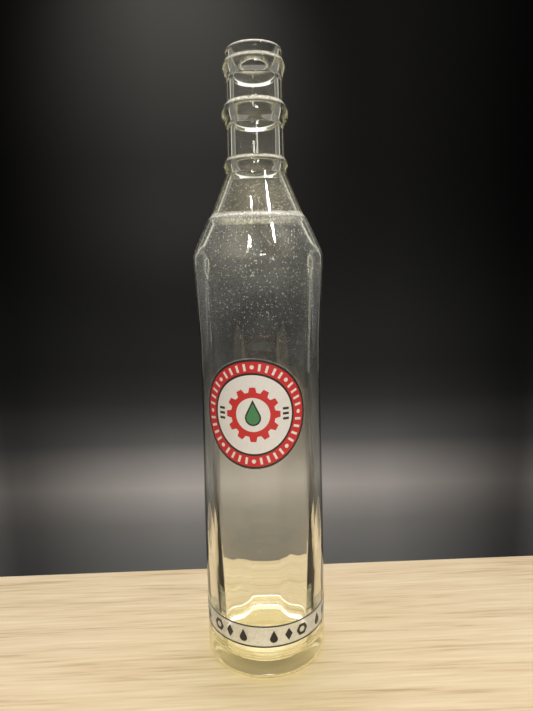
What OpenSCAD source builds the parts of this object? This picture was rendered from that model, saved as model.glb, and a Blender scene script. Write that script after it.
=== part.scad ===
// Glass oil bottle with a spout neck: one hollow piece of glass and two thin printed decals.
// Z = 0 is the surface that the bottle stands on, +Z is up, and the emblem faces -Y.

/* [Overall] */
// Height from the resting surface to the top of the lip
bottle_h = 368.3; // [360:0.1:376]
// Widest diameter, at the heel
heel_d = 77; // [76.8:0.1:80]
// Thickness of the body wall above the foot
wall_t = 3.4; // [3:0.1:4.2]
// How much thicker the wall grows towards the floor
foot_extra = 4; // [2:0.5:5]

/* [Body] */
// Diameter at the shoulder bumper
shoulder_d = 76.6; // [76.2:0.1:77]
// Diameter at the waist, between shoulder and heel
waist_d = 73.3; // [72.5:0.1:75]
// Height of the waist above the resting surface
waist_z = 195; // [185:1:200]
// Depth of the optic panels pressed into the inner face
panel_depth = 0.6; // [0.5:0.1:1]
// Number of optic panels round the body
panel_count = 12; // [8:1:12]
// Turn of the first panel's middle from the +X axis
panel_turn = 8; // [0:1:30]

/* [Base] */
// Radius of the rounded heel
heel_round = 4; // [2:0.5:5]
// Height of the inner floor at the wall
floor_z = 7; // [6:0.5:9]
// Rise of the underside's push-up above the resting surface
push_up_h = 5; // [3:0.5:6]
// Radius where the push-up leaves the bearing ring
push_up_r = 29; // [25:0.5:31]

/* [Neck] */
// Diameter of the mouth and of the neck's straight bore
mouth_d = 24; // [20:0.5:26]
// Outside diameter of the neck just below the lip
neck_d = 31.8; // [31:0.1:32.4]
// Diameter of the bead below the lip
bead_d = 35.2; // [34:0.1:36]
// Diameter of the middle neck ring, the widest one
ring_d = 37.9; // [36:0.1:39]
// Diameter of the low neck ring, at the top of the cone
low_ring_d = 37; // [36.4:0.1:38]

/* [Decals] */
// Diameter of the round emblem's printed face
emblem_d = 63; // [50:1:64]
// Height of the emblem's middle
emblem_z = 167.4; // [160:0.1:170]
// Lower edge of the band decal
band_z = 23; // [22:0.5:24]
// Height of the band decal
band_h = 14.3; // [13:0.1:15]
// Angle that the band decal wraps through
band_wrap = 200; // [160:5:240]

/* [Hidden] */
$fn = 96;
arc_steps = 6;
heel_r = heel_d / 2;
shoulder_r = shoulder_d / 2;
waist_r = waist_d / 2;
neck_r = neck_d / 2;
mouth_r = mouth_d / 2;

// Body outline, as heights above the resting surface
heel_top = 19;
label_recess = 0.25;
label_r = heel_r - label_recess;
label_top = 60;
bumper_low = 245;
bumper_high = 254;
bumper_drop = 0.35;
bumper_lead = 2.5;
lower_stations = 15;
foot_stations = [24:12:48];
inner_lower_stations = 5;
upper_stations = 5;

// Neck outline, as drops below the top of the lip
lip_r = neck_r + 0.3;
lip_round = 2.4;
mouth_round = 1.6;
bead_drop = 10.3;
bead_crown = 4.5;
bead_tail = 5.6;
ring_drop = 34.3;
ring_crown = 5.6;
ring_tail = 6.8;
low_ring_drop = 62.5;
low_ring_crown = 3.6;
crown_low_round = 7;
ring_fillet = 1.5;
mid_neck_r = neck_r + 0.4;
low_neck_r = neck_r + 0.75;
cone_top_r = 17.3;
cone_top_drop = 67.2;
cone_low_r = 27.2;
ridge_drop = 91.5;
ridge_step = 2.2;

// Inside outline: the wall grows thicker from foot_top down to foot_low
foot_top = 120;
foot_low = 12;
floor_round = 7;
floor_slope_r = 18;
neck_join = 1.7;
bore_overlap = 12;
cone_wall = 3.2;

// Optic panels: they start in the floor's rounding and leave through the shoulder's
panel_low = 6;
panel_step_h = 17;
panel_steps = 15;

// Decal layers: clear film on the glass, then one layer of inks side by side
film_t = 0.12;
print_t = film_t + 0.08;
film_margin = 0.6;
line_w = 1.3;
outline_steps = 72;

// Emblem artwork
emblem_r = emblem_d / 2;
ring_inner_r = emblem_r * 0.76;
field_r = emblem_r * 0.72;
ring_marks = 40;
mark_size = [1.4, 4];
dot_r = 1.2;
cog_teeth = 12;
cog_r = emblem_r * 0.5;
cog_root_r = emblem_r * 0.41;
hub_r = emblem_r * 0.31;
drop_r = 3.7;
drop_tip = 8.4;
drop_low = -1.8;
drop_line = 0.9;
drop_steps = 24;
side_bar_mid = emblem_r * 0.6;
side_bar_l = 3.6;
side_bar_h = 1.4;
side_bar_pitch = 2.9;

// Band artwork
border_h = 0.9;
mark_h = 8.2;
mark_pitch = 14;
group_pitch = 49;

// Smooth step from 0 to 1 as t goes from 0 to 1
function ease(t) = (1 - cos(180 * t)) / 2;

// Outside radius of the body between the label zone and the shoulder bumper
function body_r(z) =
    z <= label_top ? label_r
    : z <= waist_z ? label_r + (waist_r - label_r) * ease((z - label_top) / (waist_z - label_top))
    : waist_r + (shoulder_r - bumper_drop - waist_r) * ease((z - waist_z) / (bumper_low - waist_z));

// Heights at which an outline of the body has a point, with `lower` steps below the waist
function body_stations(lower) =
    concat([for (i = [0:lower]) label_top + (waist_z - label_top) * i / lower],
           [for (i = [1:upper_stations]) waist_z + (bumper_low - waist_z) * i / upper_stations]);

// Thickness of the wall at height z
function wall_at(z) =
    wall_t + foot_extra * ease(max(0, min(1, (foot_top - z) / (foot_top - foot_low))));

function unit(v) = v / norm(v);

// Points of the arc of radius r that rounds the corner b between a and c
function corner_arc(a, b, c, r) =
    let (u = unit(a - b),
         w = unit(c - b),
         half = acos(u * w) / 2,
         centre = b + unit(u + w) * r / sin(half),
         from = b + u * r / tan(half) - centre,
         to = b + w * r / tan(half) - centre,
         start = atan2(from.y, from.x),
         sweep = (atan2(to.y, to.x) - start + 540) % 360 - 180)
    [for (i = [0:arc_steps]) centre + r * [cos(start + sweep * i / arc_steps),
                                           sin(start + sweep * i / arc_steps)]];

function flat_point(p) = [p.x, p.y];

// A path of [radius, height, corner rounding] with its corners rounded
function rounded(path) =
    [for (i = [0:len(path) - 1])
        each path[i][2] == 0
            ? [flat_point(path[i])]
            : corner_arc(flat_point(path[i - 1]), flat_point(path[i]),
                         flat_point(path[i + 1]), path[i][2])];

// Outline points of a neck ring of radius r at height z, from the neck below it to the neck above it:
// a flank that ends `tail` below the ring's middle, a round crown, and a flank that leans at 45 degrees
function ring_path(z, r, crown, tail, below_r, above_r) =
    [[below_r, z - tail, ring_fillet],
     [r, z - crown / 2, crown_low_round],
     [r, z + crown / 2, crown],
     [above_r, z + crown / 2 + (r - above_r), ring_fillet]];

// Outline of the whole outside, from the middle of the base to the middle of the mouth
function outer_path() =
    let (ridge_z = bottle_h - ridge_drop,
         low_ring = ring_path(bottle_h - low_ring_drop, low_ring_d / 2, low_ring_crown,
                              cone_top_drop - low_ring_drop, cone_top_r, low_neck_r))
    concat([[0, 0, 0],
            [heel_r, 0, heel_round],
            [heel_r, heel_top, bumper_drop],
            [label_r, heel_top + 1, bumper_drop]],
           [for (z = body_stations(lower_stations)) [body_r(z), z, 0]],
           [[shoulder_r, bumper_low + bumper_lead, 2],
            [shoulder_r, bumper_high + bumper_lead, 10],
            [cone_low_r + ridge_step, ridge_z - 1.5, 1],
            [cone_low_r, ridge_z + 0.8, 0.6],
            [cone_top_r, bottle_h - cone_top_drop, 1]],
           [for (i = [1:3]) low_ring[i]],
           ring_path(bottle_h - ring_drop, ring_d / 2, ring_crown, ring_tail, mid_neck_r, neck_r),
           ring_path(bottle_h - bead_drop, bead_d / 2, bead_crown, bead_tail, neck_r, lip_r),
           [[lip_r, bottle_h, lip_round],
            [0, bottle_h, 0]]);

// Outline of the inside, from the middle of the floor up into the straight bore
function inner_path() =
    let (foot_in = label_r - wall_at(floor_z + 5),
         bore_z = bottle_h - cone_top_drop + neck_join)
    concat([[0, floor_z + push_up_h, 0],
            [floor_slope_r, floor_z + push_up_h * 0.45, 12],
            [foot_in - 5, floor_z, 8],
            [foot_in, floor_z + 5, floor_round]],
           [for (z = foot_stations) [label_r - wall_at(z), z, 0]],
           [for (z = body_stations(inner_lower_stations)) [body_r(z) - wall_at(z), z, 0]],
           [[shoulder_r - wall_t, bumper_low + bumper_lead, 2],
            [shoulder_r - wall_t, bumper_high, 10],
            [cone_low_r - cone_wall, bottle_h - ridge_drop - 2, 20],
            [mouth_r, bore_z, 14],
            [mouth_r, bore_z + bore_overlap, 0],
            [0, bore_z + bore_overlap, 0]]);

// Distance from the axis to the middle of an optic panel at height z
function panel_r(z) = body_r(min(z, bumper_low)) - wall_at(z) - panel_depth;

// Blocks with flat faces that press the optic panels into the inner face
module panel_blocks() {
    panel_heights = [for (i = [0:panel_steps]) panel_low + i * panel_step_h];
    panel_w = 2 * heel_r * tan(180 / panel_count);
    for (i = [0:panel_count - 1])
        rotate([0, 0, panel_turn + 360 * i / panel_count])
            rotate([90, 0, 0])
                linear_extrude(panel_w, center = true)
                    polygon(concat([[heel_r, panel_low]],
                                   [for (z = panel_heights) [panel_r(z), z]],
                                   [[heel_r, panel_heights[panel_steps]]]));
}

module chamber() {
    difference() {
        rotate_extrude() polygon(rounded(inner_path()));
        panel_blocks();
    }
}

module mouth_bore() {
    bore_low = bottle_h - cone_top_drop + neck_join + bore_overlap / 2;
    translate([0, 0, bore_low]) cylinder(r = mouth_r, h = cone_top_drop);
    translate([0, 0, bottle_h - mouth_round])
        rotate_extrude()
            difference() {
                square([mouth_r + mouth_round, mouth_round + 1]);
                translate([mouth_r + mouth_round, 0]) circle(r = mouth_round);
            }
}

// Shallow dome pressed up into the underside
module push_up() {
    sphere_r = (push_up_r * push_up_r + push_up_h * push_up_h) / (2 * push_up_h);
    translate([0, 0, push_up_h - sphere_r]) sphere(r = sphere_r, $fn = 360);
}

// A skin of the body between heights low and high, from `from` to `to` outside the glass
module skin(low, high, from, to) {
    inside = [for (z = body_stations(lower_stations)) if (z > low && z < high) z];
    heights = concat([low], inside, [high]);
    rotate_extrude()
        polygon(concat([for (z = heights) [body_r(z) + from, z]],
                       [for (i = [len(heights) - 1:-1:0]) [body_r(heights[i]) + to, heights[i]]]));
}

// Place of a point s along the wrapped surface and h above the emblem's middle, seen from -Y
function wrapped(s, h) = [waist_r * sin(s / waist_r * 180 / PI), h];

// Flat artwork carried straight back onto the front of the body, as a layer between two skins
module on_front(from, to) {
    reach = emblem_r + 3;
    intersection() {
        skin(emblem_z - reach, emblem_z + reach, from, to);
        translate([0, 0, emblem_z])
            rotate([90, 0, 0])
                linear_extrude(heel_r + 1)
                    children();
    }
}

module disc(r) {
    polygon([for (i = [0:outline_steps - 1])
        let (a = 360 * i / outline_steps)
        wrapped(r * cos(a), r * sin(a))]);
}

module ring(r_out, r_in) {
    difference() {
        disc(r_out);
        disc(r_in);
    }
}

// A bar of size [across, along], its middle r away from the emblem's middle at angle a
module radial_bar(r, a, size) {
    polygon([for (c = [[-1, -1], [1, -1], [1, 1], [-1, 1]])
        let (along = r + c.y * size.y / 2,
             across = c.x * size.x / 2)
        wrapped(along * cos(a) - across * sin(a), along * sin(a) + across * cos(a))]);
}

// A round dot of radius dot_r, its middle r away from the emblem's middle at angle a
module radial_dot(r, a, dot_r) {
    polygon([for (i = [0:15])
        let (b = 360 * i / 16)
        wrapped(r * cos(a) + dot_r * cos(b), r * sin(a) + dot_r * sin(b))]);
}

// White marks of the red ring: bars all round, with a dot at every fifth place
module ring_mark_outlines() {
    middle = (emblem_r - line_w + ring_inner_r) / 2;
    for (i = [0:ring_marks - 1]) {
        a = 360 * i / ring_marks;
        if (i % 5 == 0)
            radial_dot(middle, a, dot_r);
        else
            radial_bar(middle, a, mark_size);
    }
}

module cog_outline() {
    pitch = 360 / cog_teeth;
    polygon([for (i = [0:cog_teeth - 1])
        for (corner = [[-0.34, cog_root_r], [-0.2, cog_r], [0.2, cog_r], [0.34, cog_root_r]])
            let (a = 90 + pitch * (i + corner.x))
            wrapped(corner.y * cos(a), corner.y * sin(a))]);
}

// Outline of a drop round its round part's middle: radius r below, running up to a point at tip
function drop_points(r, tip) =
    let (lean = acos(r / tip))
    concat([[0, tip]],
           [for (i = [0:drop_steps])
               let (a = 90 + lean + (360 - 2 * lean) * i / drop_steps)
               r * [cos(a), sin(a)]]);

// The emblem's drop, grown all round by grow
module drop_shape(grow) {
    polygon([for (p = drop_points(drop_r + grow, drop_tip * (1 + grow / drop_r)))
        wrapped(p.x, p.y + drop_low)]);
}

// Three short bars on each side of the cog
module side_bar_outlines() {
    for (side = [0, 180])
        for (row = [-1:1])
            polygon([for (c = [[-1, -1], [1, -1], [1, 1], [-1, 1]])
                wrapped(cos(side) * (side_bar_mid + c.x * side_bar_l / 2),
                        row * side_bar_pitch + c.y * side_bar_h / 2)]);
}

// A piece of the band's layer between two skins, reaching over angle round the -Y side
module band_patch(angle, low, high, from, to) {
    rotate([0, 0, -90 - angle / 2])
        translate([0, 0, low])
            rotate_extrude(angle = angle)
                translate([label_r + from, 0])
                    square([to - from, high - low]);
}

// One band mark seen flat, mark_h tall: a drop, a diamond or a hexagon nut
module mark_outline(kind) {
    half = mark_h / 2;
    if (kind == 0)
        translate([0, -half * 0.4]) polygon(drop_points(half * 0.6, half * 1.4));
    if (kind == 1)
        polygon([[0, -half], [half * 0.6, 0], [0, half], [-half * 0.6, 0]]);
    if (kind == 2)
        difference() {
            circle(r = half, $fn = 6);
            circle(r = half * 0.45);
        }
}

module glass_bottle() {
    color([0.8, 0.84, 0.72, 0.4])
        difference() {
            rotate_extrude() polygon(rounded(outer_path()));
            chamber();
            mouth_bore();
            push_up();
        }
}

module emblem_film() {
    color([0.9, 0.9, 0.86, 0.4])
        on_front(0, film_t) disc(emblem_r + film_margin);
}

module emblem_outer_line() {
    color([0.04, 0.04, 0.04])
        on_front(film_t, print_t) ring(emblem_r, emblem_r - line_w);
}

module emblem_red_ring() {
    color([0.8, 0.12, 0.1])
        on_front(film_t, print_t)
            difference() {
                ring(emblem_r - line_w, ring_inner_r);
                ring_mark_outlines();
            }
}

module emblem_ring_marks() {
    color([0.93, 0.92, 0.9])
        on_front(film_t, print_t) ring_mark_outlines();
}

module emblem_inner_line() {
    color([0.04, 0.04, 0.04])
        on_front(film_t, print_t) ring(ring_inner_r, field_r);
}

module emblem_white_field() {
    color([0.93, 0.92, 0.9])
        on_front(film_t, print_t) {
            difference() {
                disc(field_r);
                cog_outline();
                side_bar_outlines();
            }
            difference() {
                disc(hub_r);
                drop_shape(drop_line);
            }
        }
}

module emblem_cog() {
    color([0.8, 0.12, 0.1])
        on_front(film_t, print_t)
            difference() {
                cog_outline();
                disc(hub_r);
            }
}

module emblem_drop_outline() {
    color([0.04, 0.04, 0.04])
        on_front(film_t, print_t)
            difference() {
                drop_shape(drop_line);
                drop_shape(0);
            }
}

module emblem_drop() {
    color([0.18, 0.45, 0.28])
        on_front(film_t, print_t) drop_shape(0);
}

module emblem_side_bars() {
    color([0.04, 0.04, 0.04])
        on_front(film_t, print_t) side_bar_outlines();
}

module band_film() {
    color([0.92, 0.9, 0.85, 0.7])
        band_patch(band_wrap, band_z, band_z + band_h, 0, film_t);
}

module band_border_lines() {
    color([0.04, 0.04, 0.04])
        for (low = [band_z, band_z + band_h - border_h])
            band_patch(band_wrap, low, low + border_h, film_t, print_t);
}

// Groups of three marks, the same on both sides of the emblem's line
module band_marks() {
    color([0.04, 0.04, 0.04])
        for (side = [-1, 1])
            for (group = [0, 1])
                for (kind = [0:2])
                    rotate([0, 0, side * (group * group_pitch + (kind + 1) * mark_pitch)])
                        intersection() {
                            band_patch(mark_pitch, band_z, band_z + band_h, film_t, print_t);
                            translate([0, 0, band_z + band_h / 2])
                                rotate([90, 0, 0])
                                    linear_extrude(heel_r + 1)
                                        mark_outline(kind);
                        }
}

glass_bottle();
emblem_film();
emblem_outer_line();
emblem_red_ring();
emblem_ring_marks();
emblem_inner_line();
emblem_white_field();
emblem_cog();
emblem_drop_outline();
emblem_drop();
emblem_side_bars();
band_film();
band_border_lines();
band_marks();
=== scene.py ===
"""A clear glass oil bottle with a round printed emblem and a printed band, standing on a pale board."""

import math

import bmesh
import bpy
from mathutils import Matrix, Vector


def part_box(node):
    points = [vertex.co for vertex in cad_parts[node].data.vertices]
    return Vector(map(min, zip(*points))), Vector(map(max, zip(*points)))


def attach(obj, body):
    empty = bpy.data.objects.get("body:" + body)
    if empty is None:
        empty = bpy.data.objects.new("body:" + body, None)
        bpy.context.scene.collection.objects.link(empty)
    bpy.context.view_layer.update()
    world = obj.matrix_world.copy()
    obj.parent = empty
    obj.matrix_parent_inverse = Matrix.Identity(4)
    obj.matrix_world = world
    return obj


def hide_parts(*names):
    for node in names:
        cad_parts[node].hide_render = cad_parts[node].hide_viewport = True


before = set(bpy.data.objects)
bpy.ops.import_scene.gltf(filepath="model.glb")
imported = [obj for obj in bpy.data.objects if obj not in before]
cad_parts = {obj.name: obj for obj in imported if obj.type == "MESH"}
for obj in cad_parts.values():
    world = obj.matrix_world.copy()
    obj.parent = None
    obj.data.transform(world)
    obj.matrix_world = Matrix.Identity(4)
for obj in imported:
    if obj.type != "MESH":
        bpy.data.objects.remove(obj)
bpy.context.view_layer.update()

MM = 0.001  # the frame is in metres, and the sizes below are in millimetres

# ---------------------------------------------------------------- sizes, as in the CAD model
_, GLASS_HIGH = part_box("glass_bottle")
BOTTLE_H = GLASS_HIGH[2] / MM
HEEL_R = GLASS_HIGH[0] / MM
WALL = 3.4
FOOT_EXTRA = 4.0
FOOT_LOW = 12.0
FOOT_TOP = 120.0
SHOULDER_R = 38.3
WAIST_R = 36.65
WAIST_Z = 195.0
HEEL_TOP = 19.0
LABEL_R = HEEL_R - 0.25
LABEL_TOP = 60.0
BUMPER_LOW = 245.0
BUMPER_DROP = 0.35

MOUTH_R = 12.0
LIP_R = 16.2
CONE_TOP_R = 17.3
CONE_LOW_R = 27.2
CONE_TOP_Z = BOTTLE_H - 67.2
RIDGE_Z = BOTTLE_H - 91.5
BORE_Z = CONE_TOP_Z + 1.7
# The neck's rings: how far below the lip each one's middle is, its radius, its crown and its tail
LOW_RING = (62.5, 18.5, 3.6, 4.7)
MIDDLE_RING = (34.3, 18.95, 5.6, 6.8)
TOP_RING = (10.3, 17.6, 4.5, 5.6)
NECK_LOW_R = 16.65
NECK_MIDDLE_R = 16.3
NECK_TOP_R = 15.9
RING_FILLET = 1.5
CROWN_LOW_ROUND = 7

PUSH_UP_H = 5.0
PUSH_UP_R = 29.0
FLOOR_Z = 7.0

PANELS = 12
PANEL_TURN = 8.0
PANEL_DEPTH = 0.6
PANEL_BLEND = 0.8  # how far the edges between panels are softened
FACETS_PER_PANEL = 24
FACET_CROWDING = 0.55  # 0 spaces a panel's facets evenly, and 1 crowds them at its edges
LONGEST_STEP = 4.2
ARC_STEP = math.radians(11)

FILM_LOW = 0.03
FILM_HIGH = 0.115
EMBLEM_Z = 167.4
EMBLEM_FILM_R = 32.1
BAND_LOW = 23.0
BAND_HIGH = 37.3
BAND_WRAP = math.radians(200)


# ---------------------------------------------------------------- outlines of the glass
def ease(t):
    """A smooth step from 0 to 1 as t goes from 0 to 1."""
    return (1 - math.cos(math.pi * min(1, max(0, t)))) / 2


def body_r(z):
    """Outside radius of the body at height z, between the label zone and the shoulder."""
    if z <= WAIST_Z:
        return LABEL_R + (WAIST_R - LABEL_R) * ease((z - LABEL_TOP) / (WAIST_Z - LABEL_TOP))
    return WAIST_R + (SHOULDER_R - BUMPER_DROP - WAIST_R) * ease((z - WAIST_Z) / (BUMPER_LOW - WAIST_Z))


def wall_at(z):
    """Thickness of the wall at height z: it grows towards the floor."""
    return WALL + FOOT_EXTRA * ease((FOOT_TOP - z) / (FOOT_TOP - FOOT_LOW))


def heights(low, high, step=4.0):
    """Evenly spaced heights from low to high, about `step` apart."""
    count = max(1, round(abs(high - low) / step))
    return [low + (high - low) * i / count for i in range(count + 1)]


def corner(a, b, c, radius):
    """Points of the arc that rounds the corner b between a and c."""
    u, w = (a - b).normalized(), (c - b).normalized()
    half = math.acos(max(-1, min(1, u.dot(w)))) / 2
    centre = b + (u + w).normalized() * (radius / math.sin(half))
    first = b + u * (radius / math.tan(half)) - centre
    last = b + w * (radius / math.tan(half)) - centre
    start = math.atan2(first.y, first.x)
    sweep = (math.atan2(last.y, last.x) - start + 3 * math.pi) % (2 * math.pi) - math.pi
    steps = max(3, math.ceil(abs(sweep) / ARC_STEP))
    turns = [start + sweep * i / steps for i in range(steps + 1)]
    return [centre + radius * Vector((math.cos(a), math.sin(a))) for a in turns]


def rounded(path):
    """The path of (radius, height, rounding) with its corners rounded, as 2D points."""
    flat = [Vector(p[:2]) for p in path]
    points = []
    for i, (_, _, radius) in enumerate(path):
        points += corner(flat[i - 1], flat[i], flat[i + 1], radius) if radius else [flat[i]]
    return points


def filled(points, longest):
    """The same line, with points added so that no stretch is longer than that."""
    line = [points[0]]
    for a, b in zip(points, points[1:]):
        count = max(1, math.ceil((b - a).length / longest))
        line += [a.lerp(b, i / count) for i in range(1, count + 1)]
    return line


def ring_path(ring, below_r, above_r):
    """A neck ring: a flank that ends `tail` below its middle, a crown, and a flank above."""
    drop, r, crown, tail = ring
    z = BOTTLE_H - drop
    half = crown / 2
    return [
        (below_r, z - tail, RING_FILLET),
        (r, z - half, CROWN_LOW_ROUND),
        (r, z + half, crown),
        (above_r, z + half + (r - above_r), RING_FILLET),
    ]


def outside_line():
    """Outline of the outside, from the middle of the base to the top of the lip."""
    dome_r = (PUSH_UP_R**2 + PUSH_UP_H**2) / (2 * PUSH_UP_H)
    dome = [(r, PUSH_UP_H - dome_r + math.sqrt(dome_r**2 - r**2), 0) for r in range(0, int(PUSH_UP_R), 3)]
    path = dome + [(PUSH_UP_R, 0, 2), (HEEL_R, 0, 4), (HEEL_R, HEEL_TOP, 0.35), (LABEL_R, HEEL_TOP + 1, 0.35)]
    path += [(body_r(z), z, 0) for z in heights(LABEL_TOP, BUMPER_LOW)]
    path += [
        (SHOULDER_R, BUMPER_LOW + 2.5, 2),
        (SHOULDER_R, BUMPER_LOW + 11.5, 10),
        (CONE_LOW_R + 2.2, RIDGE_Z - 1.5, 1),
        (CONE_LOW_R, RIDGE_Z + 0.8, 0.6),
        (CONE_TOP_R, CONE_TOP_Z, 1),
    ]
    path += ring_path(LOW_RING, CONE_TOP_R, NECK_LOW_R)[1:]
    path += ring_path(MIDDLE_RING, NECK_MIDDLE_R, NECK_TOP_R)
    path += ring_path(TOP_RING, NECK_TOP_R, LIP_R)
    path += [(LIP_R, BOTTLE_H, 2.4), (MOUTH_R, BOTTLE_H, 1.6), (MOUTH_R, BOTTLE_H - 6, 0)]
    return filled(rounded(path), LONGEST_STEP)


def inside_line():
    """Outline of the inside, from the neck's bore down to the middle of the floor."""
    foot_in = LABEL_R - wall_at(FLOOR_Z + 5)
    path = [
        (MOUTH_R, BOTTLE_H - 9, 0),
        (MOUTH_R, BORE_Z, 14),
        (CONE_LOW_R - 3.2, RIDGE_Z - 2, 20),
        (SHOULDER_R - WALL, BUMPER_LOW + 9, 10),
        (SHOULDER_R - WALL, BUMPER_LOW + 2.5, 2),
    ]
    path += [(body_r(z) - wall_at(z), z, 0) for z in heights(BUMPER_LOW, 24)]
    path += [(foot_in, FLOOR_Z + 5, 7), (foot_in - 5, FLOOR_Z, 8), (18, FLOOR_Z + PUSH_UP_H * 0.45, 12)]
    path += [(0, FLOOR_Z + PUSH_UP_H, 0)]
    return filled(rounded(path), LONGEST_STEP)


def panel_r(z):
    """Distance from the axis to the middle of an optic panel at height z."""
    return body_r(min(z, BUMPER_LOW)) - wall_at(z) - PANEL_DEPTH


def soft_min(a, b, blend):
    """The smaller of a and b, with the change from one to the other rounded over `blend`."""
    h = max(blend - abs(a - b), 0) / blend
    return min(a, b) - h * h * blend / 4


def inner_r(r, z, turn):
    """Inside radius at height z and angle `turn`, with the optic panels pressed in."""
    if r < panel_r(z) - 1:
        return r
    pitch = 2 * math.pi / PANELS
    off = (turn - math.radians(PANEL_TURN) + pitch / 2) % pitch - pitch / 2
    return soft_min(r, panel_r(z) / math.cos(off), PANEL_BLEND)


# ---------------------------------------------------------------- mesh helpers
def add_object(name, mesh, material, slot=None):
    """Links the mesh as an object with that material, riding on the root body if it is a piece."""
    ob = bpy.data.objects.new(name, mesh)
    bpy.context.scene.collection.objects.link(ob)
    mesh.materials.append(material)
    if slot:
        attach(ob, "root")
    return ob


def smooth(mesh):
    mesh.polygons.foreach_set("use_smooth", [True] * len(mesh.polygons))
    return mesh


def mesh_from(name, verts, faces):
    mesh = bpy.data.meshes.new(name)
    mesh.from_pydata(verts, [], faces)
    mesh.validate()
    mesh.update()
    return smooth(mesh)


def turned_mesh(name, line, radius_at, turns):
    """A closed mesh turned from a line that starts and ends on the axis."""
    count = len(turns)
    verts, faces = [(0, 0, line[0].y * MM)], []
    for p in line[1:-1]:
        for turn in turns:
            r = radius_at(p, turn) * MM
            verts.append((r * math.cos(turn), r * math.sin(turn), p.y * MM))
    verts.append((0, 0, line[-1].y * MM))
    rings = len(line) - 2
    for k in range(rings - 1):
        for j in range(count):
            a, b = 1 + k * count + j, 1 + k * count + (j + 1) % count
            faces.append((a, b, b + count, a + count))
    last = len(verts) - 1
    for j in range(count):
        faces.append((0, 1 + (j + 1) % count, 1 + j))
        a = 1 + (rings - 1) * count
        faces.append((last, a + j, a + (j + 1) % count))
    return mesh_from(name, verts, faces)


# ---------------------------------------------------------------- materials
class Shader:
    """A new material and short calls to wire its nodes."""

    def __init__(self, name):
        self.material = bpy.data.materials.new(name)
        self.material.use_nodes = True
        self.tree = self.material.node_tree
        self.tree.nodes.clear()
        self.out = self.node("OutputMaterial")
        self.place = self.node("TexCoord").outputs["Object"]

    def node(self, kind, **values):
        node = self.tree.nodes.new("ShaderNode" + kind)
        for key, value in values.items():
            setattr(node, key, value)
        return node

    def link(self, a, b):
        self.tree.links.new(a, b)

    def noise(self, scale, detail=3, stretch=(1, 1, 1)):
        """A noise from 0 to 1, `scale` to the metre."""
        sized = self.node("Mapping")
        sized.inputs["Scale"].default_value = stretch
        self.link(self.place, sized.inputs["Vector"])
        tex = self.node("TexNoise")
        tex.inputs["Scale"].default_value = scale
        tex.inputs["Detail"].default_value = detail
        self.link(sized.outputs[0], tex.inputs["Vector"])
        return tex.outputs["Fac"]

    def ramp(self, value, *stops):
        """The value carried through stops of (position, colour or number)."""
        node = self.node("ValToRGB")
        points = node.color_ramp.elements
        while len(points) < len(stops):
            points.new(1)
        for point, (at, colour) in zip(points, stops):
            point.position = at
            point.color = (*colour, 1) if isinstance(colour, tuple) else (colour,) * 3 + (1,)
        self.link(value, node.inputs[0])
        return node.outputs[0]

    def dots(self, scale):
        """Scattered round dots, 1 in their middles and 0 between them."""
        cells = self.node("TexVoronoi")
        cells.inputs["Scale"].default_value = scale
        self.link(self.place, cells.inputs["Vector"])
        lone = self.node("SeparateXYZ")
        self.link(cells.outputs["Color"], lone.inputs[0])
        chosen = self.ramp(lone.outputs["X"], (0.62, 0.0), (0.64, 1.0))
        return self.math("MULTIPLY", chosen, self.ramp(cells.outputs["Distance"], (0.14, 0.85), (0.27, 0.0)))

    def math(self, kind, a, b):
        node = self.node("Math", operation=kind)
        for socket, value in zip(node.inputs, (a, b)):
            if isinstance(value, (int, float)):
                socket.default_value = value
            else:
                self.link(value, socket)
        return node.outputs[0]

    def bump(self, height, distance, strength=1.0):
        node = self.node("Bump")
        node.inputs["Distance"].default_value = distance
        node.inputs["Strength"].default_value = strength
        self.link(height, node.inputs["Height"])
        return node.outputs[0]

    def principled(self, **values):
        """A Principled shader, with sockets given by name, as numbers, colours or links."""
        node = self.node("BsdfPrincipled")
        for key, value in values.items():
            socket = node.inputs[key.replace("_", " ")]
            if isinstance(value, bpy.types.NodeSocket):
                self.link(value, socket)
            else:
                socket.default_value = (*value, 1) if isinstance(value, tuple) else value
        return node.outputs[0]

    def mix(self, share, a, b):
        node = self.node("MixShader")
        if isinstance(share, (int, float)):
            node.inputs[0].default_value = share
        else:
            self.link(share, node.inputs[0])
        self.link(a, node.inputs[1])
        self.link(b, node.inputs[2])
        return node.outputs[0]

    def surface(self, socket):
        self.link(socket, self.out.inputs["Surface"])
        return self.material


# Heights of the ledges where dust settles and a painted highlight lies along their lit tops: the ridge under
# the cone, the tops of the neck rings, and the lip
LEDGES = ((276.3, 277.9), (308.2, 309.7), (337.7, 339.8), (360.4, 361.9), (367.2, 369.0))
LEDGES_LOW = 270.0
LEDGES_SPAN = 100.0
SHADED_H = 370.0  # the whole bottle's height and a little over, for the ramps that run up it


def ledge_stops():
    """Ramp stops up the neck, with a value of 1 on every ledge and 0 between them."""
    stops = []
    for low, high in LEDGES:
        low, high = (low - LEDGES_LOW) / LEDGES_SPAN, (high - LEDGES_LOW) / LEDGES_SPAN
        stops += [(low - 0.008, 0.0), (low + 0.006, 1.0), (high - 0.004, 1.0), (high + 0.006, 0.0)]
    return stops[:-1]  # the lip's ledge runs past the top of the ramp


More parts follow.
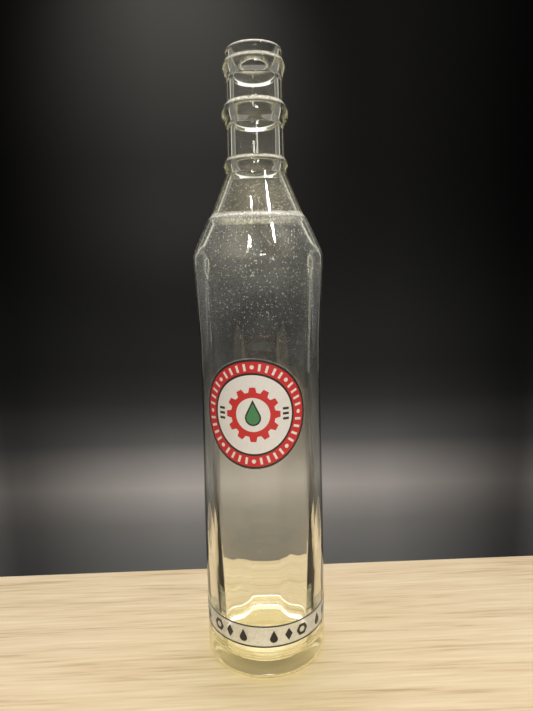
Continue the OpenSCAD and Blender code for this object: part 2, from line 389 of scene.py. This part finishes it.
def glass_material():
    """Faintly yellow glass, with dust on its shoulder, dust and a painted highlight along the tops of its
    ledges, and scuffs round its foot whose tan paints the lit board seen through the base.
    """
    s = Shader("clear_glass")
    ripple = s.noise(45, 2, (1, 1, 0.4))
    body = s.principled(
        Base_Color=s.ramp(s.noise(30), (0.3, (0.97, 0.985, 0.96)), (0.7, (1, 1, 1))),
        Roughness=0.0,
        IOR=1.51,
        Transmission_Weight=1.0,
        Normal=s.bump(ripple, 0.0004, 0.25),
    )
    height = s.node("SeparateXYZ")
    s.link(s.place, height.inputs[0])
    along = s.math("MULTIPLY", height.outputs["Z"], 1 / (SHADED_H * MM))
    # The dust layer's colour up the bottle: tan at the foot, painting the lit board seen through the base;
    # grey on the body; warm pale from the ridge up, the colour of the painted highlights on the ledges
    dust_and_painted_light = s.principled(
        Base_Color=s.ramp(
            along,
            (0.02, (0.92, 0.70, 0.43)),
            (0.3, (0.80, 0.80, 0.80)),
            (0.74, (0.80, 0.80, 0.80)),
            (0.76, (0.86, 0.81, 0.68)),
        ),
        Roughness=0.38,
        Specular_IOR_Level=0.8,
    )
    milky = s.ramp(along, (0.4, 0.02), (0.6, 0.12), (0.68, 0.5), (0.75, 0.9), (0.79, 0.7), (0.83, 0.2))
    veil = s.math("MULTIPLY", milky, s.ramp(s.noise(60, 4), (0.35, 0.02), (0.65, 0.11)))
    speckled = s.ramp(along, (0.4, 0.0), (0.55, 0.3), (0.66, 0.7), (0.72, 1.0), (0.79, 0.8), (0.83, 0.2))
    facing = s.ramp(s.math("ADD", s.math("MULTIPLY", height.outputs["Y"], 10), 0.5), (0.45, 1.0), (0.55, 0.0))
    specks = s.math("MULTIPLY", s.math("MULTIPLY", speckled, facing), s.dots(720))
    # Dust on the outside of the ledges, which also paints the bright lit lines along the tops of the ridge,
    # the neck rings and the lip
    above = s.math("SUBTRACT", height.outputs["Z"], LEDGES_LOW * MM)
    ledge = s.ramp(s.math("MULTIPLY", above, 1 / (LEDGES_SPAN * MM)), *ledge_stops())
    x_squared = s.math("MULTIPLY", height.outputs["X"], height.outputs["X"])
    y_squared = s.math("MULTIPLY", height.outputs["Y"], height.outputs["Y"])
    away = s.math("SQRT", s.math("ADD", x_squared, y_squared), 0)
    outside = s.ramp(s.math("MULTIPLY", away, 30), (0.43, 0.0), (0.45, 1.0))
    patchy = s.ramp(s.noise(700, 4), (0.38, 0.3), (0.62, 0.85))
    ledge_dust_and_painted_highlight = s.math("MULTIPLY", s.math("MULTIPLY", ledge, outside), patchy)
    # Scuffs round the foot, in the dust's tan colour there, which paints the lit board seen through the base
    foot_scuffs_and_painted_board_light = s.ramp(along, (0.003, 0.22), (0.014, 0.06), (0.018, 0.0))
    share = s.math("ADD", s.math("ADD", veil, specks), s.math("ADD", foot_scuffs_and_painted_board_light, ledge_dust_and_painted_highlight))
    body = s.mix(share, body, dust_and_painted_light)
    through = s.node("BsdfTransparent")
    through.inputs["Color"].default_value = (0.93, 0.95, 0.91, 1)
    body = s.mix(s.node("LightPath").outputs["Is Shadow Ray"], body, through.outputs[0])
    tint = s.node("VolumeAbsorption")
    tint.inputs["Color"].default_value = (0.93, 0.925, 0.66, 1)
    tint.inputs["Density"].default_value = 20.0
    s.link(tint.outputs[0], s.out.inputs["Volume"])
    return s.surface(body)


def film_material():
    """A clear printed film: almost nothing shows of it but a faint gloss."""
    s = Shader("clear_film")
    clear = s.node("BsdfTransparent").outputs[0]
    gloss = s.principled(
        Base_Color=s.ramp(s.noise(400), (0.4, (0.9, 0.9, 0.88)), (0.6, (1, 1, 1))),
        Roughness=0.25,
    )
    return s.surface(s.mix(s.ramp(s.noise(900), (0.35, 0.05), (0.7, 0.12)), clear, gloss))


def frosted_material():
    """The band's milky film, half see-through."""
    s = Shader("frosted_film")
    clear = s.node("BsdfTransparent").outputs[0]
    milky = s.principled(
        Base_Color=s.ramp(s.noise(500), (0.4, (0.74, 0.73, 0.69)), (0.6, (0.82, 0.81, 0.78))),
        Roughness=0.4,
    )
    return s.surface(s.mix(s.ramp(s.noise(700), (0.35, 0.46), (0.7, 0.54)), clear, milky))


def ink_material(name, colour, speck):
    """Printed ink, with fine grains of the colour times `speck`."""
    s = Shader(name)
    tone = s.ramp(s.noise(1500), (0.42, tuple(c * speck for c in colour)), (0.6, colour))
    return s.surface(
        s.principled(
            Base_Color=tone,
            Roughness=s.ramp(s.noise(300), (0.3, 0.28), (0.7, 0.42)),
            Normal=s.bump(s.noise(2500), 0.00003, 0.5),
        )
    )


def board_material():
    """Pale wood, with its grain running across."""
    s = Shader("pale_board")
    broad = s.math("MULTIPLY", s.noise(7, 8, (1, 14, 1)), 0.5)
    fine = s.math("MULTIPLY", s.noise(40, 6, (0.5, 12, 1)), 0.5)
    grain = s.math("ADD", broad, fine)
    tone = s.ramp(grain, (0.34, (0.55, 0.40, 0.22)), (0.45, (0.77, 0.60, 0.385)), (0.65, (0.90, 0.75, 0.525)))
    return s.surface(s.principled(Base_Color=tone, Roughness=0.55, Normal=s.bump(grain, 0.002, 0.2)))


def backdrop_material():
    """Black paper, with a painted pool of light: a pale stretch of floor behind the board that fades out at
    the back and sides, with the paper's gloss fading out with it.
    """
    s = Shader("dark_backdrop")
    place = s.node("SeparateXYZ")
    s.link(s.place, place.inputs[0])
    # Painted pool of light: the paper is painted lighter in a band behind the board and darker further back
    tone = s.ramp(
        place.outputs["Y"],
        (0.16, (0.072, 0.071, 0.07)),
        (0.24, (0.095, 0.091, 0.088)),
        (0.34, (0.19, 0.175, 0.165)),
        (0.52, (0.056, 0.054, 0.053)),
        (0.78, (0.021, 0.0208, 0.0206)),
        (1.0, (0.0088, 0.0085, 0.0083)),
    )
    # Painted falloff of that pool towards the sides, which also dims the paper's gloss
    sideways = s.math("DIVIDE", place.outputs["X"], s.math("ADD", place.outputs["Y"], 0.32))
    painted_light_falloff = s.ramp(
        s.math("ADD", s.math("MULTIPLY", sideways, 0.4), 0.5),
        (0.22, 1.0),
        (0.3, 0.3),
        (0.316, 0.33),
        (0.376, 0.74),
        (0.428, 1.0),
        (0.5, 1.0),
        (0.6, 0.92),
        (0.66, 0.5),
        (0.69, 0.27),
        (0.705, 0.22),
        (0.78, 1.0),
    )
    tint = s.node("Mix", data_type="RGBA", blend_type="MULTIPLY")
    tint.inputs["Factor"].default_value = 1.0
    s.link(tone, tint.inputs[6])
    s.link(painted_light_falloff, tint.inputs[7])
    return s.surface(
        s.principled(
            Base_Color=tint.outputs[2],
            Roughness=0.7,
            Specular_IOR_Level=s.math("MULTIPLY", painted_light_falloff, 0.2),
            Normal=s.bump(s.noise(6), 0.002, 0.2),
        )
    )


# ---------------------------------------------------------------- the glass
def sector_turns():
    """Angles round the bottle, closer together at the edges between optic panels."""
    pitch = 2 * math.pi / PANELS
    turns = []
    for panel in range(PANELS):
        for i in range(FACETS_PER_PANEL):
            u = 2 * i / FACETS_PER_PANEL - 1
            eased = u + FACET_CROWDING / math.pi * math.sin(math.pi * u)
            turns.append(math.radians(PANEL_TURN) + (panel + eased / 2) * pitch)
    return turns


def make_glass(material):
    """The one hollow piece of glass, turned from its outline, with optic panels on its inside."""
    outside = outside_line()
    line = outside + inside_line()
    split = len(outside)
    order = {id(p): i for i, p in enumerate(line)}
    mesh = turned_mesh(
        "glass_bottle_mesh",
        line,
        lambda p, turn: inner_r(p.x, p.y, turn) if order[id(p)] >= split else p.x,
        sector_turns(),
    )
    ob = add_object("bottle", mesh, material, "bottle_glass")
    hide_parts("glass_bottle")


# ---------------------------------------------------------------- decals
def on_front(s, h, off):
    """A point s round and h above the emblem's middle, `off` outside the glass."""
    x = WAIST_R * math.sin(s / WAIST_R)
    z = EMBLEM_Z + h
    return (x * MM, -math.sqrt((body_r(z) + off) ** 2 - x * x) * MM, z * MM)


def disc_sheet(name, radius, low, high, rings=10, count=144):
    """A closed thin disc laid on the front of the body."""
    verts, faces = [], []
    for off in (high, low):
        verts.append(on_front(0, 0, off))
        for k in range(1, rings + 1):
            for j in range(count):
                a = 2 * math.pi * j / count
                r = radius * k / rings
                verts.append(on_front(r * math.cos(a), r * math.sin(a), off))
    layer = 1 + rings * count
    for side in (0, 1):
        base = side * layer
        for j in range(count):
            tri = (base, base + 1 + j, base + 1 + (j + 1) % count)
            faces.append(tri if side == 0 else tri[::-1])
            for k in range(rings - 1):
                a = base + 1 + k * count + j
                b = base + 1 + k * count + (j + 1) % count
                quad = (a, a + count, b + count, b)
                faces.append(quad if side == 0 else quad[::-1])
    edge = 1 + (rings - 1) * count
    for j in range(count):
        a, b = edge + j, edge + (j + 1) % count
        faces.append((a, a + layer, b + layer, b))
    return mesh_from(name, verts, faces)


def band_sheet(name, z_low, z_high, wrap, low, high):
    """A closed thin strip wrapped round the front of the body."""
    verts, faces = [], []
    steps, rows = 160, 6
    for off in (high, low):
        for k in range(rows + 1):
            z = z_low + (z_high - z_low) * k / rows
            r = LABEL_R + off
            for j in range(steps + 1):
                a = -math.pi / 2 - wrap / 2 + wrap * j / steps
                verts.append((r * math.cos(a) * MM, r * math.sin(a) * MM, z * MM))
    row = steps + 1
    layer = (rows + 1) * row
    for side in (0, 1):
        for k in range(rows):
            for j in range(steps):
                a = side * layer + k * row + j
                quad = (a, a + 1, a + 1 + row, a + row)
                faces.append(quad if side == 0 else quad[::-1])
    for j in range(steps):
        for a in (j, j + rows * row):
            quad = (a, a + layer, a + layer + 1, a + 1)
            faces.append(quad if a == j else quad[::-1])
    for k in range(rows):
        for a in (k * row, k * row + steps):
            quad = (a, a + row, a + row + layer, a + layer)
            faces.append(quad if a == k * row else quad[::-1])
    return mesh_from(name, verts, faces)


def make_decals():
    """The two films in place of the CAD model's, and the inks on its printed pieces."""
    disc = disc_sheet("emblem_film_mesh", EMBLEM_FILM_R, FILM_LOW, FILM_HIGH)
    film = add_object("emblem_clear_film", disc, film_material(), "clear_film")
    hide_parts("emblem_film")
    strip = band_sheet("band_film_mesh", BAND_LOW, BAND_HIGH, BAND_WRAP, FILM_LOW, FILM_HIGH)
    band = add_object("band_frosted_film", strip, frosted_material(), "frosted_film")
    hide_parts("band_film")
    inks = {
        "black_ink": ink_material("black_ink", (0.016, 0.016, 0.017), 0.7),
        "red_ink": ink_material("red_ink", (0.62, 0.025, 0.03), 0.88),
        "white_ink": ink_material("white_ink", (0.80, 0.80, 0.80), 0.94),
        "green_ink": ink_material("green_ink", (0.06, 0.26, 0.11), 0.88),
    }
    painted = {
        "emblem_outer_line": "black_ink",
        "emblem_red_ring": "red_ink",
        "emblem_ring_marks": "white_ink",
        "emblem_inner_line": "black_ink",
        "emblem_white_field": "white_ink",
        "emblem_cog": "red_ink",
        "emblem_drop_outline": "black_ink",
        "emblem_drop": "green_ink",
        "emblem_side_bars": "black_ink",
        "band_border_lines": "black_ink",
        "band_marks": "black_ink",
    }
    for node, ink in painted.items():
        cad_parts[node].data.materials.clear()
        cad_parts[node].data.materials.append(inks[ink])


# ---------------------------------------------------------------- board, backdrop, lights and camera
CAMERA_TURN = math.radians(7.7)
CAMERA_D = 323.7
CAMERA_Z = 251.5
PITCH = math.radians(-10.0)
YAW = math.radians(0.67)
ROLL = math.radians(-1.22)
FOCAL_PX = 534.0
IMAGE_H_PX = 711.0
SENSOR = 36.0


def make_camera():
    """A camera close in front of the bottle, a little to its right and looking slightly down."""
    data = bpy.data.cameras.new("camera")
    data.sensor_width = SENSOR
    data.lens = FOCAL_PX / IMAGE_H_PX * SENSOR
    data.clip_start = 0.01
    data.clip_end = 50
    ob = bpy.data.objects.new("camera", data)
    bpy.context.scene.collection.objects.link(ob)
    ob.location = Vector((CAMERA_D * math.sin(CAMERA_TURN), -CAMERA_D * math.cos(CAMERA_TURN), CAMERA_Z)) * MM
    facing = Matrix.Rotation(CAMERA_TURN - YAW, 4, "Z") @ Matrix.Rotation(math.pi / 2 + PITCH, 4, "X")
    ob.rotation_euler = (facing @ Matrix.Rotation(ROLL, 4, "Z")).to_euler()
    bpy.context.scene.camera = ob


def make_stage():
    """The pale board that the bottle stands on, and a dark paper sweep under and behind it."""
    depth, width, front, thick = 0.088, 1.6, -0.9, 0.04
    bm = bmesh.new()
    bmesh.ops.create_cube(bm, size=1)
    for v in bm.verts:
        v.co = Vector((v.co.x * width, front + (v.co.y + 0.5) * (depth - front), (v.co.z - 0.5) * thick))
    bmesh.ops.bevel(bm, geom=bm.edges[:], offset=0.002, segments=3, affect="EDGES")
    mesh = bpy.data.meshes.new("board_mesh")
    bm.to_mesh(mesh)
    bm.free()
    board = add_object("board", smooth(mesh), board_material())
    board.rotation_euler.z = CAMERA_TURN + math.radians(1.2)

    # The paper from the side: a floor level with the board's underside, a bend, and an upright back
    bend_at, bend_r, top, half_width = 0.8, 0.6, 1.2, 1.15
    line = [Vector((-2.5, -thick)), Vector((bend_at, -thick))]
    for i in range(1, 13):
        t = i * math.pi / 24
        line.append(Vector((bend_at + bend_r * math.sin(t), bend_r - thick - bend_r * math.cos(t))))
    line.append(Vector((bend_at + bend_r, top)))
    verts, faces = [], []
    for x in (-half_width, half_width):
        verts += [(x, p.x, p.y) for p in line]
    for i in range(len(line) - 1):
        faces.append((i, i + len(line), i + len(line) + 1, i + 1))
    sweep = add_object("backdrop", mesh_from("backdrop_mesh", verts, faces), backdrop_material())
    sweep.rotation_euler.z = CAMERA_TURN


def add_light(name, azimuth, height, distance, size, power, colour, aim_z=0.2):
    """A square soft light. Its azimuth is measured from the camera's side, towards the right."""
    data = bpy.data.lights.new(name, "AREA")
    data.shape = "RECTANGLE"
    data.size, data.size_y = size
    data.energy = power
    data.color = colour
    ob = bpy.data.objects.new(name, data)
    bpy.context.scene.collection.objects.link(ob)
    turn = CAMERA_TURN + math.radians(azimuth)
    ob.location = (distance * math.sin(turn), -distance * math.cos(turn), height)
    ob.rotation_euler = (Vector((0, 0, aim_z)) - ob.location).to_track_quat("-Z", "Y").to_euler()


def add_pool(name, place, aim, angle, power, colour):
    """A spot light that makes a soft pool on the backdrop, from and to places seen from the camera's side."""
    data = bpy.data.lights.new(name, "SPOT")
    data.energy = power
    data.spot_size = math.radians(angle)
    data.spot_blend = 1.0
    data.shadow_soft_size = 0.1
    data.color = colour
    ob = bpy.data.objects.new(name, data)
    bpy.context.scene.collection.objects.link(ob)
    facing = Matrix.Rotation(CAMERA_TURN, 3, "Z")
    ob.location = facing @ Vector(place)
    ob.rotation_euler = (facing @ (Vector(aim) - Vector(place))).to_track_quat("-Z", "Y").to_euler()


# The bright dome overhead: how high its middle stands above the horizon behind the bottle, how far from its
# middle it is still at full strength, and how far from it the dome has faded to the dim room
DOME_RISE = math.radians(72)
DOME_FULL = math.radians(24)
DOME_EDGE = math.radians(40)
WORLD_STRENGTH = 4.2


def make_world():
    """A dim room under a soft bright dome, which lies overhead and a little behind the bottle."""
    world = bpy.data.worlds.new("world")
    world.use_nodes = True
    tree = world.node_tree
    place = tree.nodes.new("ShaderNodeTexCoord")
    toward = tree.nodes.new("ShaderNodeVectorMath")
    toward.operation = "DOT_PRODUCT"
    flat = math.cos(DOME_RISE)
    back = (-flat * math.sin(CAMERA_TURN), flat * math.cos(CAMERA_TURN))
    toward.inputs[1].default_value = (*back, math.sin(DOME_RISE))
    tree.links.new(place.outputs["Generated"], toward.inputs[0])
    ramp = tree.nodes.new("ShaderNodeValToRGB")
    ramp.color_ramp.elements[0].position = math.cos(DOME_EDGE)
    ramp.color_ramp.elements[0].color = (0.04, 0.04, 0.04, 1)
    ramp.color_ramp.elements[1].position = math.cos(DOME_FULL)
    ramp.color_ramp.elements[1].color = (0.7, 0.68, 0.65, 1)
    core = ramp.color_ramp.elements.new(1)
    core.color = (1.0, 0.97, 0.93, 1)
    tree.links.new(toward.outputs["Value"], ramp.inputs[0])
    background = tree.nodes["Background"]
    tree.links.new(ramp.outputs[0], background.inputs[0])
    background.inputs[1].default_value = WORLD_STRENGTH
    bpy.context.scene.world = world


def make_lights():
    """The dome, three small lights in front, faint strips behind each side, and pools on the paper."""
    make_world()
    warm = (1, 0.97, 0.92)
    add_light("key_right", 40, 1.33, 0.9, (0.08, 0.08), 5, warm)
    add_light("key_left", -19, 1.3, 0.9, (0.12, 0.12), 2.5, warm)
    add_light("front_fill", 8, 0.55, 1.5, (0.25, 0.25), 5, warm)
    for side in (-140, 140):
        add_light("rim_high", side, 0.56, 1.0, (0.12, 0.64), 0.17, (1, 0.93, 0.72), 0.56)
        add_light("rim_low", side, 0.11, 1.0, (0.12, 0.26), 0.02, (1, 0.93, 0.72), 0.11)
    add_pool("pool_left", (-0.13, 0.5, 1.2), (-0.13, 0.38, -0.04), 26, 32, (1, 0.95, 0.9))
    add_pool("pool_right", (0.13, 0.5, 1.2), (0.13, 0.38, -0.04), 26, 24, (1, 0.95, 0.9))
    add_pool("wall_glow", (-0.27, 0.6, 1.45), (-0.27, 1.4, 0.85), 58, 84, (1, 0.94, 0.86))


make_camera()
make_stage()
make_lights()
make_glass(glass_material())
make_decals()
bpy.context.scene.view_settings.view_transform = "Standard"
